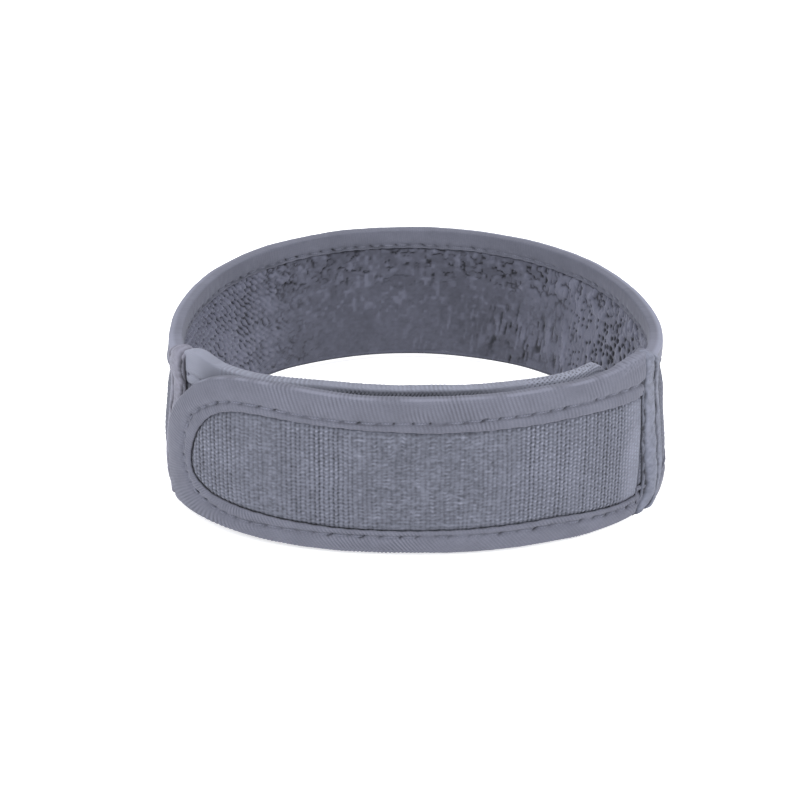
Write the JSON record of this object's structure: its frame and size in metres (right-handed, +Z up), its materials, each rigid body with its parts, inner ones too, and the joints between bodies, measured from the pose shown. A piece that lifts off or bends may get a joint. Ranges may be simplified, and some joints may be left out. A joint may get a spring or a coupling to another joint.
{
  "type": "esd wrist strap",
  "caption": "Adjustable fabric wrist strap for static control: a closed band whose rounded hook tab laps over a loop underlay, with a ground snap at the back.",
  "frame": {"origin": "centre of the band's bounding box in plan, on the surface that the lower edge stands on", "axes": "+Z up along the axis of the band; -Y faces the closure tab, +Y the ground snap; +X is the side that the tab is sewn to"},
  "size_m": [0.0694, 0.0712, 0.0223],
  "materials": {
    "binding_tape": "ribbed polyester binding tape, soft sheen",
    "joint_tape": "ribbed polyester tape, slightly lighter",
    "rib_knit": "vertical rib knit, matt",
    "face_knit": "fine rib knit, matt",
    "conductive_knit": "pebbled terry knit with conductive yarn, matt",
    "loop_knit": "brushed loop mesh",
    "elastic_core": "woven elastic, matt",
    "hook_tape": "moulded nylon hooks",
    "thread": "polyester sewing thread",
    "snap_metal": "nickel plated, polished",
    "snap_washer": "black carbon-filled plastic"
  },
  "bodies": {
    "band": {"back_bottom_binding": "binding_tape", "back_bottom_seam": "thread", "back_core": "elastic_core", "back_liner": "conductive_knit", "back_shell": "face_knit", "back_top_binding": "binding_tape", "back_top_seam": "thread", "left_joint_seam": "thread", "left_joint_tape": "joint_tape", "right_joint_seam": "thread", "right_joint_tape": "joint_tape", "snap_eyelet": "snap_metal", "snap_stud": "snap_metal", "snap_washer": "snap_washer"},
    "tab_root": {"tab_root_binding": "binding_tape", "tab_root_core": "elastic_core", "tab_root_face": "rib_knit", "tab_root_lining": "conductive_knit", "tab_root_seam": "thread"},
    "tab_middle": {"tab_mid_binding": "binding_tape", "tab_mid_core": "elastic_core", "tab_mid_face": "rib_knit", "tab_mid_hook": "hook_tape", "tab_mid_seam": "thread"},
    "tab_tip": {"tab_tip_binding": "binding_tape", "tab_tip_core": "elastic_core", "tab_tip_face": "rib_knit", "tab_tip_hook": "hook_tape", "tab_tip_seam": "thread"},
    "underlay": {"underlay_binding": "binding_tape", "underlay_core": "elastic_core", "underlay_liner": "conductive_knit", "underlay_loop_face": "loop_knit", "underlay_seam": "thread"}
  },
  "joints": [
    {"name": "tab_open", "type": "hinge", "parent": "band", "child": "tab_root", "pos_m": [0.02937, -0.02428, 0.011], "axis": [0, 0, 1], "range_deg": [0, 80]},
    {"name": "tab_peel_middle", "type": "hinge", "parent": "tab_root", "child": "tab_middle", "pos_m": [0.0124, -0.03412, 0.011], "axis": [0, 0, 1], "range_deg": [0, 45]},
    {"name": "tab_peel_tip", "type": "hinge", "parent": "tab_middle", "child": "tab_tip", "pos_m": [-0.01031, -0.03462, 0.011], "axis": [0, 0, 1], "range_deg": [0, 60]},
    {"name": "underlay_swing", "type": "hinge", "parent": "band", "child": "underlay", "pos_m": [-0.0291, -0.0212, 0.011], "axis": [0, 0, 1], "range_deg": [0, 28]}
  ]
}
